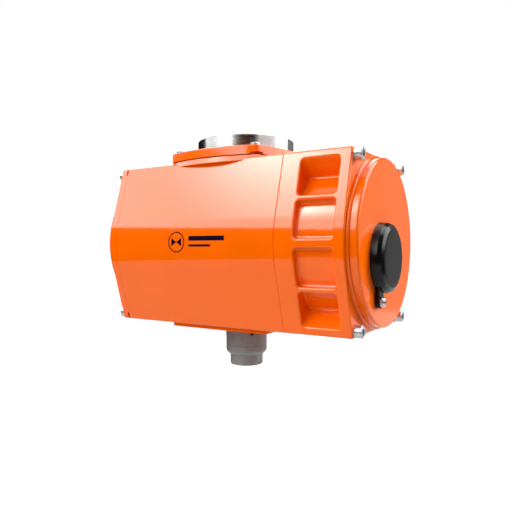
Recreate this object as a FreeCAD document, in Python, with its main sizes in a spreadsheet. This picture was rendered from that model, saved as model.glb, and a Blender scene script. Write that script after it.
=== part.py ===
"""Motorized quarter-turn valve actuator: cast housing, worm drive, motor, controls and hand drive.

Millimetres. X runs along the barrel towards the hand-drive cap, Z is the output axis and points up, and the
front is -Y. Every piece is modelled about the barrel axis (Z = 0 at mid height) and lifted by its Placement,
so that the origin of the finished assembly is the centre of the valve flange face on the output axis.
"""

import FreeCAD, Part

import math
import os
import re

import Sketcher

V = FreeCAD.Vector

# Driving dimensions: name, value.
SIZES = [
    # cast body
    ("half_height", 72.0),
    ("corner_y", 57.0),
    ("barrel_radius", 74.5),
    ("left_length", 97.4),
    ("right_length", 72.2),
    ("cavity_radius", 66.0),
    ("edge_fillet", 2.5),
    ("cap_seam_chamfer", 0.45),
    ("rear_seam_chamfer", 0.15),
    ("rim_fillet", 1.2),
    ("wall_y", 80.0),
    ("spot_face_y", 73.0),
    ("pad_thick", 4.0),
    ("pad_x", 51.0),
    ("pad_y", 50.0),
    ("turret_radius", 58.5),
    ("turret_rise", 2.0),
    ("turret_bore", 50.0),
    # end cap
    ("cap_length", 57.9),
    ("cap_cavity_radius", 63.0),
    ("cap_cavity_depth", 60.8),
    ("step_radius", 71.5),
    ("step_rise", 2.3),
    ("disc_radius", 69.6),
    ("disc_rise", 6.45),
    ("pocket_floor_radius", 69.0),
    ("pocket_start", 16.7),
    ("pocket_length", 32.2),
    ("pocket_corner", 3.0),
    ("pocket_lip", 1.6),
    ("pocket_root", 2.0),
    ("boss_x", 127.0),
    # rear cover
    ("rear_thick", 8.2),
    ("rear_disc_radius", 71.0),
    ("rear_disc_rise", 5.9),
    # cover screws
    ("screw_y", 51.4),
    ("screw_z", 66.7),
    ("screw_radius", 3.0),
    ("screw_head_radius", 5.0),
    ("screw_head_rise", 6.0),
    ("washer_thick", 1.6),
    # top cover and indicator
    ("gasket_thick", 0.6),
    ("top_thick", 7.7),
    ("top_draft", 3.5),
    ("seat_draft", 14.0),
    ("seat_drop", 2.5),
    ("seat_reach", 1.4),
    ("top_corner_x", 46.0),
    ("top_corner_y", 54.0),
    ("top_side_x", 56.0),
    ("top_front_y", 62.5),
    ("bezel_radius", 45.4),
    ("bezel_rise", 13.8),
    ("bezel_bore", 42.2),
    ("bezel_lip_radius", 39.5),
    # output drive
    ("journal_radius", 15.0),
    ("sleeve_radius", 19.65),
    ("sleeve_nose_radius", 15.75),
    ("sleeve_end", 115.0),
    ("stem_radius", 9.0),
    ("flange_pcd_radius", 35.0),
    # gear train
    ("worm_y", -44.0),
    ("drive_z", -12.0),
    ("hand_y", -17.0),
    ("motor_y", 20.35),
    ("motor_z", -5.0),
    ("motor_radius", 27.0),
    ("motor_screw_radius", 20.0),
    ("web_left_x", -40.0),
    ("web_right_x", 37.0),
    ("web_thick", 8.0),
    ("plate_x", 68.5),
    ("plate_thick", 3.0),
    ("lug_reach", 44.0),
    ("wheel_width", 14.0),
    ("deck_z", 26.0),
    ("deck_thick", 3.0),
    ("deck_left_x", -84.0),
    ("deck_right_x", 44.0),
    ("deck_y", 58.0),
    ("deck_screw_x", 40.0),
    ("deck_screw_y", 54.0),
    # hand-drive cap
    ("hand_cap_radius", 28.5),
    ("hand_cap_rise", 10.05),
    ("cap_screw_y", -28.5),
    ("cap_screw_z", -46.0),
    ("lug_half_width", 5.0),
    # running clearance of shafts in their bushes
    ("running_gap", 0.04),
]

doc = FreeCAD.newDocument("valve_actuator")
sheet = doc.addObject("Spreadsheet::Sheet", "sizes")
for row, (alias, number) in enumerate(SIZES, start=1):
    sheet.set("A%d" % row, alias)
    sheet.set("B%d" % row, str(number))
    sheet.setAlias("B%d" % row, alias)
doc.recompute()

ALIAS = re.compile(r"\b(%s)\b" % "|".join(alias for alias, number in SIZES))
LIFT = "pad_thick + half_height"
ALONG_X = FreeCAD.Rotation(V(1, 1, 1), 120)  # turns local Z to X, X to Y and Y to Z
ALONG_Y = FreeCAD.Rotation(V(1, 0, 0), -90)  # turns local Z to Y
UPRIGHT = FreeCAD.Rotation()
nodes = []


def value(expression):
    """The number that an expression of sheet names gives."""
    return float(sheet.evalExpression(str(expression)))


def bind(item, prop, expression):
    """Ties a property of a document object to the sheet."""
    item.setExpression(prop, ALIAS.sub(r"sizes.\1", str(expression)))


def place(item, x=0, y=0, z=0, turn=UPRIGHT):
    """Puts an object at a place given by sheet expressions."""
    item.Placement = FreeCAD.Placement(V(value(x), value(y), value(z)), turn)
    for axis, expression in (("x", x), ("y", y), ("z", z)):
        bind(item, "Placement.Base." + axis, expression)
    return item


def node(item, name, x=0, y=0, z=0, turn=UPRIGHT):
    """Makes an object a sub-part of the assembly, at its place about the barrel axis."""
    item.Label = name
    place(item, x, y, "%s + %s" % (LIFT, z), turn)
    nodes.append(item)
    return item


# ---------------------------------------------------------------- primitives and booleans


def cylinder(radius, length, x=0, y=0, z=0, turn=UPRIGHT):
    item = doc.addObject("Part::Cylinder", "cylinder")
    bind(item, "Radius", radius)
    bind(item, "Height", length)
    return place(item, x, y, z, turn)


def cone(lower, upper, height, z):
    item = doc.addObject("Part::Cone", "cone")
    bind(item, "Radius1", lower)
    bind(item, "Radius2", upper)
    bind(item, "Height", height)
    return place(item, z=z)


def box(x_from, x_to, y_from, y_to, z_from, z_to):
    item = doc.addObject("Part::Box", "box")
    bind(item, "Length", "(%s) - (%s)" % (x_to, x_from))
    bind(item, "Width", "(%s) - (%s)" % (y_to, y_from))
    bind(item, "Height", "(%s) - (%s)" % (z_to, z_from))
    return place(item, x_from, y_from, z_from)


def prism(corners, across_flats, length, x=0, y=0, z=0, turn=UPRIGHT):
    item = doc.addObject("Part::Prism", "prism")
    item.Polygon = corners
    bind(item, "Circumradius", "(%s) / (2 * cos(180 deg / %d))" % (across_flats, corners))
    bind(item, "Height", length)
    return place(item, x, y, z, turn)


def fuse(*shapes):
    item = doc.addObject("Part::MultiFuse", "fuse")
    item.Shapes = list(shapes)
    return item


def cut(base, *tools):
    item = doc.addObject("Part::Cut", "cut")
    item.Base = base
    item.Tool = tools[0] if len(tools) == 1 else fuse(*tools)
    return item


def common(*shapes):
    item = doc.addObject("Part::MultiCommon", "common")
    item.Shapes = list(shapes)
    return item


def group(*shapes):
    """Identical loose pieces kept as one sub-part of separate solids."""
    item = doc.addObject("Part::Compound", "group")
    item.Links = list(shapes)
    return item


def ring(outer, inner, length, x=0, y=0, z=0, turn=UPRIGHT):
    """A plain tube."""
    item = cut(cylinder(outer, length), cylinder(inner, "(%s) + 2" % length, z=-1))
    return place(item, x, y, z, turn)


# ---------------------------------------------------------------- PartDesign bodies


def new_body(name):
    body = doc.addObject("PartDesign::Body", name)
    doc.recompute()
    return body


def sketch_on(body, plane, offset=0):
    """An empty sketch on an origin plane of its own body, moved along the plane's normal."""
    sketch = body.newObject("Sketcher::SketchObject", "sketch")
    support = [item for item in body.Origin.OriginFeatures if item.Role == plane][0]
    sketch.AttachmentSupport = [(support, "")]
    sketch.MapMode = "FlatFace"
    sketch.AttachmentOffset = FreeCAD.Placement(V(0, 0, value(offset)), UPRIGHT)
    bind(sketch, "AttachmentOffset.Base.z", offset)
    return sketch


def fix_point(sketch, geometry, end, x, y):
    """Holds one end of a sketch element at sheet coordinates measured from the sketch origin."""
    for kind, expression in (("DistanceX", x), ("DistanceY", y)):
        rule = sketch.addConstraint(Sketcher.Constraint(kind, -1, 1, geometry, end, value(expression)))
        bind(sketch, "Constraints[%d]" % rule, expression)


def outline(sketch, points):
    """A closed outline. A point (x, y) leads on by a line, and (x, y, radius, side) by an arc of that radius
    whose centre lies to the left of the path where side is 1 and to the right where it is -1."""
    corners = [V(value(point[0]), value(point[1]), 0) for point in points]
    ends = []
    for index, point in enumerate(points):
        start = corners[index]
        end = corners[(index + 1) % len(corners)]
        if len(point) == 2:
            item = sketch.addGeometry(Part.LineSegment(start, end))
            ends.append((item, 1, 2))
        else:
            radius = value(point[2])
            side = point[3]
            chord = end - start
            reach = math.sqrt(radius**2 - (chord.Length / 2) ** 2)
            centre = (start + end) * 0.5 + V(-chord.y, chord.x, 0).normalize() * (side * reach)
            first, last = (start, end) if side > 0 else (end, start)
            angles = [math.atan2(spot.y - centre.y, spot.x - centre.x) for spot in (first, last)]
            if angles[1] < angles[0]:
                angles[1] += 2 * math.pi
            circle = Part.Circle(centre, V(0, 0, 1), radius)
            item = sketch.addGeometry(Part.ArcOfCircle(circle, angles[0], angles[1]))
            ends.append((item, 1, 2) if side > 0 else (item, 2, 1))
    for index, (item, start, end) in enumerate(ends):
        following, next_start, _ = ends[(index + 1) % len(ends)]
        sketch.addConstraint(Sketcher.Constraint("Coincident", item, end, following, next_start))
    for point, (item, start, end) in zip(points, ends):
        fix_point(sketch, item, start, point[0], point[1])
        if len(point) > 2:
            rule = sketch.addConstraint(Sketcher.Constraint("Radius", item, value(point[2])))
            bind(sketch, "Constraints[%d]" % rule, point[2])
    return sketch


def circles(sketch, radius, centres):
    for x, y in centres:
        loop = sketch.addGeometry(Part.Circle(V(value(x), value(y), 0), V(0, 0, 1), value(radius)))
        fix_point(sketch, loop, 3, x, y)
        rule = sketch.addConstraint(Sketcher.Constraint("Radius", loop, value(radius)))
        bind(sketch, "Constraints[%d]" % rule, radius)
    return sketch


def pad(body, sketch, length):
    """Adds material from the sketch along its plane's normal."""
    feature = body.newObject("PartDesign::Pad", "pad")
    feature.Profile = sketch
    feature.Length = value(length)
    bind(feature, "Length", length)
    doc.recompute()
    return feature


def pocket(body, sketch, length):
    """Removes material from the sketch along its plane's normal, and makes sure that it did."""
    before = body.Shape.Volume
    feature = body.newObject("PartDesign::Pocket", "pocket")
    feature.Profile = sketch
    feature.Reversed = True
    feature.Length = value(length)
    bind(feature, "Length", length)
    doc.recompute()
    if not body.Shape.isValid() or body.Shape.Volume > before - 1e-3:
        raise RuntimeError("a pocket of %s removes nothing" % body.Name)
    return feature


def holes(body, plane, offset, length, radius, centres):
    return pocket(body, circles(sketch_on(body, plane, offset), radius, centres), length)


def soften(body, kind, size, wanted):
    """Fillets or chamfers every edge of a body for which wanted(edge) is true."""
    names = ["Edge%d" % (i + 1) for i, edge in enumerate(body.Shape.Edges) if wanted(edge)]
    if not names:
        raise RuntimeError("no edge to soften on %s" % body.Name)
    base = body.Tip
    feature = body.newObject("PartDesign::" + kind, kind.lower())
    feature.Base = (base, names)
    if kind == "Fillet":
        feature.Radius = value(size)
        bind(feature, "Radius", size)
    else:
        feature.Size = value(size)
        bind(feature, "Size", size)
    doc.recompute()
    if not body.Shape.isValid() or not body.Shape.Volume > 0:
        raise RuntimeError("a %s of %s fails" % (kind, body.Name))
    return feature


def turned(name, profile):
    """A body of revolution about its own Z axis from an outline of (radius, height) points."""
    body = new_body(name)
    sketch = outline(sketch_on(body, "XZ_Plane"), profile)
    feature = body.newObject("PartDesign::Revolution", "revolution")
    feature.Profile = sketch
    feature.ReferenceAxis = (sketch, ["V_Axis"])
    feature.Angle = 360
    doc.recompute()
    return body


# ---------------------------------------------------------------- outlines shared by several pieces

TANGENT = "(atan(half_height / corner_y) - acos(barrel_radius / sqrt(corner_y^2 + half_height^2)))"
TANGENT_Y = "barrel_radius * cos(%s)" % TANGENT
TANGENT_Z = "barrel_radius * sin(%s)" % TANGENT
STOP_X = "28"
STOP_Z = "6"
EARTH_X = "56"
GLANDS_X = ("-81", "-51.5")
TOP_Z = "half_height + turret_rise"


def four(across, along):
    """The four places at plus and minus these two expressions."""
    return [("%s (%s)" % (a, across), "%s (%s)" % (b, along)) for a in "+-" for b in "+-"]


CORNERS = four("screw_y", "screw_z")
PLATE_CORNERS = four("top_corner_x - 6", "top_corner_y - 6")
DIAGONALS = four("flange_pcd_radius * cos(45 deg)", "flange_pcd_radius * sin(45 deg)")
LUGS = four("lug_reach", "lug_reach")
DECK_SCREWS = four("deck_screw_x", "deck_screw_y")
MOTOR_SCREWS = four("motor_screw_radius * cos(45 deg)", "motor_screw_radius * sin(45 deg)")


def barrel_section(sketch):
    """The cast body's cross-section: flat top and bottom, and bulged flanks."""
    return outline(sketch, [
        ("corner_y", "-half_height"),
        (TANGENT_Y, "-" + TANGENT_Z, "barrel_radius", 1),
        (TANGENT_Y, TANGENT_Z),
        ("corner_y", "half_height"),
        ("-corner_y", "half_height"),
        ("-" + TANGENT_Y, TANGENT_Z, "barrel_radius", 1),
        ("-" + TANGENT_Y, "-" + TANGENT_Z),
        ("-corner_y", "-half_height"),
    ])


def rectangle(sketch, x_from, x_to, y_from, y_to):
    return outline(sketch, [(x_from, y_from), (x_to, y_from), (x_to, y_to), (x_from, y_to)])


def plate_outline(sketch, grow="0"):
    """The top cover's outline: four corners joined by slightly bulged sides."""
    front = "(top_front_y - top_corner_y)"
    side = "(top_side_x - top_corner_x)"
    front_radius = "((top_corner_x^2 + %s^2) / (2 * %s))" % (front, front)
    side_radius = "((top_corner_y^2 + %s^2) / (2 * %s))" % (side, side)
    x = "(top_corner_x + (%s))" % grow
    y = "(top_corner_y + (%s))" % grow
    return outline(sketch, [
        ("-" + x, "-" + y, front_radius, 1),
        (x, "-" + y, side_radius, 1),
        (x, y, front_radius, 1),
        ("-" + x, y, side_radius, 1),
    ])


def along_x(edge):
    """True for a straight edge parallel to X."""
    ends = [vertex.Point for vertex in edge.Vertexes]
    return len(ends) == 2 and abs(ends[0].y - ends[1].y) < 1e-4 and abs(ends[0].z - ends[1].z) < 1e-4


def at_corner(edge):
    """True for the four long edges where the flanks meet the top and the bottom."""
    spot = edge.Vertexes[0].Point
    corner = (value("corner_y"), value("half_height"))
    return along_x(edge) and abs(abs(spot.y) - corner[0]) < 0.01 and abs(abs(spot.z) - corner[1]) < 0.01


def on_rim(x):
    """True for the edges of the barrel section's outline at this X."""
    station = value(x)

    def wanted(edge):
        flat = all(abs(vertex.Point.x - station) < 1e-4 for vertex in edge.Vertexes)
        middle = edge.valueAt((edge.FirstParameter + edge.LastParameter) / 2)
        outside = abs(middle.z) > value("half_height") - 3 or abs(middle.y) > value("corner_y") - 1
        clear = math.hypot(middle.y, middle.z) > value("barrel_radius") - 3
        hole = edge.Curve.TypeId == "Part::GeomCircle" and edge.Curve.Radius < 20
        rounding = hole and edge.Curve.Radius < 2.9
        return flat and abs(middle.x - station) < 1e-4 and outside and clear and (not hole or rounding)

    return wanted


# ---------------------------------------------------------------- castings and covers


def make_housing():
    body = new_body("housing")
    left = "-left_length"
    pad(body, barrel_section(sketch_on(body, "YZ_Plane", left)), "left_length + right_length")
    soften(body, "Fillet", "edge_fillet", at_corner)
    soften(body, "Chamfer", "cap_seam_chamfer", on_rim("right_length"))
    soften(body, "Chamfer", "rear_seam_chamfer", on_rim(left))
    # round turret and low seat under the top cover, and square flange pad at the bottom
    turret = circles(sketch_on(body, "XY_Plane", "40"), "turret_radius", [("0", "0")])
    pad(body, turret, "%s - 40" % TOP_Z)
    seat_foot = plate_outline(sketch_on(body, "XY_Plane", "half_height - seat_drop"))
    seat = pad(body, seat_foot, "turret_rise + seat_drop")
    seat.TaperAngle = -value("seat_draft")
    bind(seat, "TaperAngle", "-seat_draft")
    doc.recompute()
    underside = sketch_on(body, "XY_Plane", "-half_height - pad_thick")
    pad(body, rectangle(underside, "-pad_x", "pad_x", "-pad_y", "pad_y"), "pad_thick + 2")
    soften(body, "Fillet", "5", lambda edge: edge.Vertexes[0].Point.z < -value("half_height") + 1
           and abs(edge.Length - value("pad_thick")) < 0.01)
    # barrel cavity, open at both ends
    holes(body, "YZ_Plane", left, "left_length + right_length", "cavity_radius", [("0", "0")])
    # two cross webs for the worm shaft, the right one also for the hand-drive shaft
    for x, inner_y in (("web_left_x", "-27"), ("web_right_x", "-5")):
        web = rectangle(sketch_on(body, "YZ_Plane", x), "-65", inner_y, "-34", "12")
        pad(body, web, "web_thick")
    # ledges for the deck, lugs for the gear plate, boss round the output bore
    for y_from, y_to in (("-63", "-52"), ("52", "63")):
        ledge = rectangle(sketch_on(body, "YZ_Plane", "deck_left_x"), y_from, y_to, "18", "deck_z")
        pad(body, ledge, "deck_right_x - deck_left_x")
    for y, z in LUGS:
        pad(body, circles(sketch_on(body, "YZ_Plane", "50"), "6", [(y, z)]), "plate_x - 50")
    pad(body, circles(sketch_on(body, "XY_Plane", "-70"), "27", [("0", "0")]), "24")
    # bores
    holes(body, "YZ_Plane", "web_left_x - 1", "90", "13", [("worm_y", "drive_z")])
    holes(body, "YZ_Plane", "web_right_x - 1", "web_thick + 4", "8", [("hand_y", "drive_z")])
    holes(body, "XY_Plane", "30", "60", "turret_bore", [("0", "0")])
    holes(body, "XY_Plane", "-72", "28", "18", [("0", "0")])
    holes(body, "XY_Plane", "-half_height - pad_thick", "8", "20", [("0", "0")])
    holes(body, "XY_Plane", "-half_height - pad_thick", "12", "4", DIAGONALS)
    holes(body, "YZ_Plane", "right_length - 22", "22", "screw_radius", CORNERS)
    holes(body, "YZ_Plane", left, "22", "screw_radius", CORNERS)
    holes(body, "YZ_Plane", "plate_x - 10.5", "10.5", "2", LUGS)
    holes(body, "XY_Plane", "deck_z - 6", "6", "2", DECK_SCREWS)
    holes(body, "XY_Plane", "%s - 10" % TOP_Z, "10", "2.5", PLATE_CORNERS)
    # grooves for the cover O-rings
    for x in ("right_length - 2", left):
        groove = sketch_on(body, "YZ_Plane", x)
        circles(groove, "68.1", [("0", "0")])
        circles(groove, "71.1", [("0", "0")])
        pocket(body, groove, "2")
    # rear wall: stop screws, cable glands and earth screw, each with a flat spot face. The XZ plane faces -Y.
    stops = [("-" + STOP_X, STOP_Z), (STOP_X, STOP_Z)]
    glands = [(x, "0") for x in GLANDS_X]
    earth = [(EARTH_X, "0")]
    for radius, places in (("9", stops), ("14.6", glands), ("8", earth)):
        holes(body, "XZ_Plane", "-wall_y", "wall_y - spot_face_y", radius, places)
    for depth, radius, places in (("20", "4", stops), ("20", "10", glands), ("13", "2.5", earth)):
        holes(body, "XZ_Plane", "-wall_y", depth, radius, places)
    return node(body, "housing")


def flank_pockets(body):
    """Four weight-saving pockets in each flank of the end cap, down to the round barrel inside it."""
    floor = "pocket_floor_radius"
    far = "95"
    slope = "(screw_z - 0.7) / (corner_y + 1.5)"
    edge_angle = "atan(%s)" % slope
    rows = [("3.3", "32.5"), ("-33.7", "-3.6")]
    outer = [("36.3", 1), ("-37.7", -1)]
    for side in (-1, 1):
        for low, high in rows:
            near = ["%d * sqrt(%s^2 - (%s)^2)" % (side, floor, z) for z in (low, high)]
            far_y = "%d * %s" % (side, far)
            sketch = sketch_on(body, "YZ_Plane", "right_length + pocket_start")
            outline(sketch, [(far_y, low), (far_y, high), (near[1], high, floor, -side), (near[0], low)])
            pocket(body, sketch, "pocket_length")
        for level, way in outer:
            inner_y = "%d * sqrt(%s^2 - (%s)^2)" % (side, floor, level)
            slant_y = "%d * %s * cos(%s)" % (side, floor, edge_angle)
            slant_z = "%d * %s * sin(%s)" % (way, floor, edge_angle)
            far_y = "%d * %s" % (side, far)
            far_z = "%d * %s * %s" % (way, far, slope)
            sketch = sketch_on(body, "YZ_Plane", "right_length + pocket_start")
            outline(sketch, [(inner_y, level), (far_y, level), (far_y, far_z),
                             (slant_y, slant_z, floor, -side * way)])
            pocket(body, sketch, "pocket_length")


def in_pocket(edge):
    """True for the edges inside the flank pockets of the end cap that run from mouth to floor."""
    points = [vertex.Point for vertex in edge.Vertexes]
    start = value("right_length + pocket_start")
    stations = (start, start + value("pocket_length"))
    flat = any(all(abs(point.x - station) < 1e-3 for point in points) for station in stations)
    depth = [math.hypot(point.y, point.z) for point in points]
    floor = value("pocket_floor_radius")
    return len(points) == 2 and flat and abs(min(depth) - floor) < 1e-3 and max(depth) > floor + 1


def pocket_rim(depth):
    """Finds the edges round the pockets of the end cap where depth(y, z) is zero."""
    start = value("right_length + pocket_start")
    end = start + value("pocket_length")

    def wanted(edge):
        middle = edge.valueAt((edge.FirstParameter + edge.LastParameter) / 2)
        points = [middle] + [vertex.Point for vertex in edge.Vertexes]
        within = all(start - 1e-3 < point.x < end + 1e-3 for point in points)
        return within and all(abs(depth(abs(point.y), abs(point.z))) < 1e-3 for point in points)

    return wanted


def below_flank(y, z):
    """How far a point lies under the flank, which is round in the middle and flat above and below."""
    tangent = math.radians(value(TANGENT))
    if z < value(TANGENT_Z):
        return value("barrel_radius") - math.hypot(y, z)
    return value("barrel_radius") - y * math.cos(tangent) - z * math.sin(tangent)


def above_floor(y, z):
    return math.hypot(y, z) - value("pocket_floor_radius")


def make_end_cap():
    body = new_body("end_cap")
    face = "right_length + cap_length"
    pad(body, barrel_section(sketch_on(body, "YZ_Plane", "right_length")), "cap_length")
    soften(body, "Fillet", "edge_fillet", at_corner)
    soften(body, "Chamfer", "cap_seam_chamfer", on_rim("right_length"))
    soften(body, "Fillet", "rim_fillet", on_rim(face))
    flank_pockets(body)
    soften(body, "Fillet", "pocket_corner", in_pocket)
    soften(body, "Fillet", "pocket_root", pocket_rim(above_floor))
    soften(body, "Fillet", "pocket_lip", pocket_rim(below_flank))
    pad(body, circles(sketch_on(body, "YZ_Plane", face), "step_radius", [("0", "0")]), "step_rise")
    soften(body, "Fillet", "1.4", lambda edge: round_edge(edge, "step_radius", face + " + step_rise"))
    disc = circles(sketch_on(body, "YZ_Plane", face + " + step_rise"), "disc_radius", [("0", "0")])
    pad(body, disc, "disc_rise")
    front = "%s + step_rise + disc_rise" % face
    soften(body, "Fillet", "2", lambda edge: round_edge(edge, "disc_radius", front))
    holes(body, "YZ_Plane", "right_length", "cap_cavity_depth", "cap_cavity_radius", [("0", "0")])
    holes(body, "YZ_Plane", "right_length", "4", "cavity_radius", [("0", "0")])
    # hand-drive shaft passage with an inner boss, and the cap screw's tapped hole
    shaft = [("hand_y", "drive_z")]
    pad(body, circles(sketch_on(body, "YZ_Plane", "boss_x"), "12", shaft), "8")
    holes(body, "YZ_Plane", "boss_x", "8.4", "9", shaft)
    holes(body, "YZ_Plane", "boss_x", "12", "7.5", shaft)
    holes(body, "YZ_Plane", "%s - 5" % front, "5", "2", [("cap_screw_y", "cap_screw_z")])
    holes(body, "YZ_Plane", "right_length", "cap_length", "screw_radius + 0.3", CORNERS)
    return node(body, "end_cap")


def round_edge(edge, radius, x):
    """True for a circular edge about the barrel axis with this radius at this X."""
    curve = edge.Curve
    if curve.TypeId != "Part::GeomCircle":
        return False
    centred = math.hypot(curve.Center.y, curve.Center.z) < 1e-4
    return centred and abs(curve.Radius - value(radius)) < 1e-3 and abs(curve.Center.x - value(x)) < 1e-3


def make_rear_cover():
    body = new_body("rear_cover")
    outside = "-left_length - rear_thick"
    pad(body, barrel_section(sketch_on(body, "YZ_Plane", outside)), "rear_thick")
    soften(body, "Fillet", "edge_fillet", at_corner)
    soften(body, "Chamfer", "rear_seam_chamfer", on_rim("-left_length"))
    soften(body, "Fillet", "rim_fillet", on_rim(outside))
    crown = "%s - rear_disc_rise" % outside
    pad(body, circles(sketch_on(body, "YZ_Plane", crown), "rear_disc_radius", [("0", "0")]), "rear_disc_rise")
    soften(body, "Fillet", "3", lambda edge: round_edge(edge, "rear_disc_radius", crown))
    holes(body, "YZ_Plane", "%s + 5" % crown, "rear_thick + rear_disc_rise", "62", [("0", "0")])
    holes(body, "YZ_Plane", outside, "rear_thick", "screw_radius + 0.3", CORNERS)
    # pry notches at the seam, on the four corners
    for y_from, y_to in (("-70", "-54.6"), ("54.6", "70")):
        for z_from, z_to in (("-80", "-half_height + 6"), ("half_height - 6", "80")):
            notch = rectangle(sketch_on(body, "YZ_Plane", "-left_length - 2"), y_from, y_to, z_from, z_to)
            pocket(body, notch, "4")
    return node(body, "rear_cover")


def rising(edge):
    """True for an edge that runs from one level to another."""
    return abs(edge.Vertexes[0].Point.z - edge.Vertexes[-1].Point.z) > 1


def make_top_cover():
    body = new_body("top_cover")
    base = "%s + gasket_thick" % TOP_Z
    plate = pad(body, plate_outline(sketch_on(body, "XY_Plane", base)), "top_thick")
    plate.TaperAngle = -value("top_draft")
    bind(plate, "TaperAngle", "-top_draft")
    doc.recompute()
    soften(body, "Fillet", "4.5", rising)
    # pry notches under two opposite corners
    for way in "+-":
        corner = circles(sketch_on(body, "XY_Plane", base), "6.8",
                         [("%s (top_corner_x + 1)" % way, "-1 * (%s (top_corner_y + 1))" % way)])
        pocket(body, corner, "1.8")
    top = value("%s + top_thick" % base)
    soften(body, "Fillet", "0.8", lambda edge: all(abs(v.Point.z - top) < 1e-4 for v in edge.Vertexes))
    holes(body, "XY_Plane", base, "top_thick", "9", [("0", "0")])
    holes(body, "XY_Plane", base, "top_thick", "2.75", PLATE_CORNERS)
    return node(body, "top_cover")


# ---------------------------------------------------------------- seals, bushes, bearings and the indicator


def make_o_rings():
    rings = []
    for x in ("right_length - 1", "-left_length + 1"):
        item = doc.addObject("Part::Torus", "o_ring")
        item.Radius1 = 69.6
        item.Radius2 = 0.98
        rings.append(place(item, x, 0, 0, ALONG_X))
    return node(group(*rings), "cover_o_rings")


def make_top_gasket():
    body = new_body("top_gasket")
    pad(body, plate_outline(sketch_on(body, "XY_Plane", TOP_Z), "-seat_reach"), "gasket_thick")
    holes(body, "XY_Plane", TOP_Z, "gasket_thick", "3", PLATE_CORNERS)
    holes(body, "XY_Plane", TOP_Z, "gasket_thick", "turret_bore + 1", [("0", "0")])
    return node(body, "top_gasket")


def make_bezel():
    """Stainless ring that holds the window over the position dial."""
    base = "%s + gasket_thick + top_thick" % TOP_Z
    top = "bezel_rise - 1.3"
    body = turned("bezel_ring", [
        ("bezel_bore", "0"),
        ("bezel_radius", "0"),
        ("bezel_radius", "bezel_rise - 0.5"),
        ("bezel_radius - 0.5", "bezel_rise"),
        ("bezel_lip_radius", "bezel_rise"),
        ("bezel_lip_radius", top),
        ("bezel_bore", top),
    ])
    node(body, "bezel_ring", z=base)
    outer = "bezel_bore - 0.05"
    node(ring(outer, "bezel_lip_radius", "0.8"), "window_seal", z="%s + bezel_rise - 2.1" % base)
    node(cylinder(outer, "3.5"), "window_glass", z="%s + bezel_rise - 5.6" % base)
    dial = turned("dial", [
        ("6", "0"),
        (outer, "0"),
        (outer, "bezel_rise - 5.6"),
        ("bezel_lip_radius + 1", "bezel_rise - 5.6"),
        ("bezel_lip_radius + 1", "1"),
        ("6", "1"),
    ])
    node(dial, "dial_plate", z=base)


def make_bearings():
    """Bushes, ball bearings and shaft seals that stay in the castings."""
    lower = ring("18", "journal_radius + running_gap", "22")
    node(lower, "output_lower_bush", z="-68")
    seal = turned("output_seal", [
        ("journal_radius + 0.03", "0"),
        ("19.95", "0"),
        ("19.95", "8"),
        ("journal_radius + 3", "8"),
        ("journal_radius + 2", "2.5"),
        ("journal_radius + 0.03", "4"),
    ])
    node(seal, "output_seal", z="-half_height - pad_thick")
    node(ring("14", "10 + running_gap", "7"), "output_upper_bush", z="deck_z - 2")
    races = []
    for x in ("web_left_x", "web_right_x"):
        race = turned("worm_bearing", [
            ("5 + running_gap", "0"),
            ("6.6", "0"),
            ("7", "0.6"),
            ("11", "0.6"),
            ("11.4", "0"),
            ("13", "0"),
            ("13", "8"),
            ("11.4", "8"),
            ("11", "7.4"),
            ("7", "7.4"),
            ("6.6", "8"),
            ("5 + running_gap", "8"),
        ])
        races.append(place(race, x, "worm_y", "drive_z", ALONG_X))
    node(group(*races), "worm_bearings")
    bushes = [
        ring("8", "5 + running_gap", "web_thick", "web_right_x", "hand_y", "drive_z", ALONG_X),
        ring("9", "6 + running_gap", "plate_thick", "plate_x", "hand_y", "drive_z", ALONG_X),
        ring("9", "6 + running_gap", "6.4", "boss_x", "hand_y", "drive_z", ALONG_X),
    ]
    node(group(*bushes), "hand_shaft_bushes")
    node(ring("8.95", "6.02", "1.9"), "hand_shaft_seal", "boss_x + 6.45", "hand_y", "drive_z", ALONG_X)


# ---------------------------------------------------------------- gears


def gear_outline(teeth, module, first_tooth, backlash, height=0.0):
    """Closed outline of an involute spur gear about Z, with one tooth centred at the angle first_tooth."""
    pressure = math.radians(20)
    pitch = module * teeth / 2
    base = pitch * math.cos(pressure)
    root = pitch - 1.25 * module
    tip = pitch + module
    start = max(base, root)
    half_tooth = math.pi / (2 * teeth) - backlash / (2 * pitch)
    flank = []
    steps = 4
    for step in range(steps):
        radius = start + (tip - start) * step / (steps - 1)
        roll = math.acos(min(1.0, base / radius))
        lean = half_tooth + math.tan(pressure) - pressure - (math.tan(roll) - roll)
        flank.append((radius, lean))
    if root < start - 1e-6:
        flank.insert(0, (root, flank[0][1]))
    points = []
    for tooth in range(teeth):
        centre = first_tooth + 2 * math.pi * tooth / teeth
        tooth_side = [(radius, centre - lean) for radius, lean in flank]
        tooth_side += [(radius, centre + lean) for radius, lean in reversed(flank)]
        for radius, angle in tooth_side:
            points.append(V(radius * math.cos(angle), radius * math.sin(angle), height))
    return Part.makePolygon(points + points[:1])


def spur_gear(name, teeth, module, width, bore, first_tooth):
    """A spur gear with its lower face at Z = 0."""
    blank = Part.Face(gear_outline(teeth, module, first_tooth, 0.16)).extrude(V(0, 0, width))
    item = doc.addObject("Part::Feature", name)
    item.Shape = blank.cut(Part.makeCylinder(bore, width + 2, V(0, 0, -1)))
    return item


WHEEL_TEETH = 34
WHEEL_MODULE = 2.0
WORM_PITCH_RADIUS = 10.0
WORM_LEAD = math.pi * WHEEL_MODULE
MESH_BACKLASH = 0.3


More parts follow.
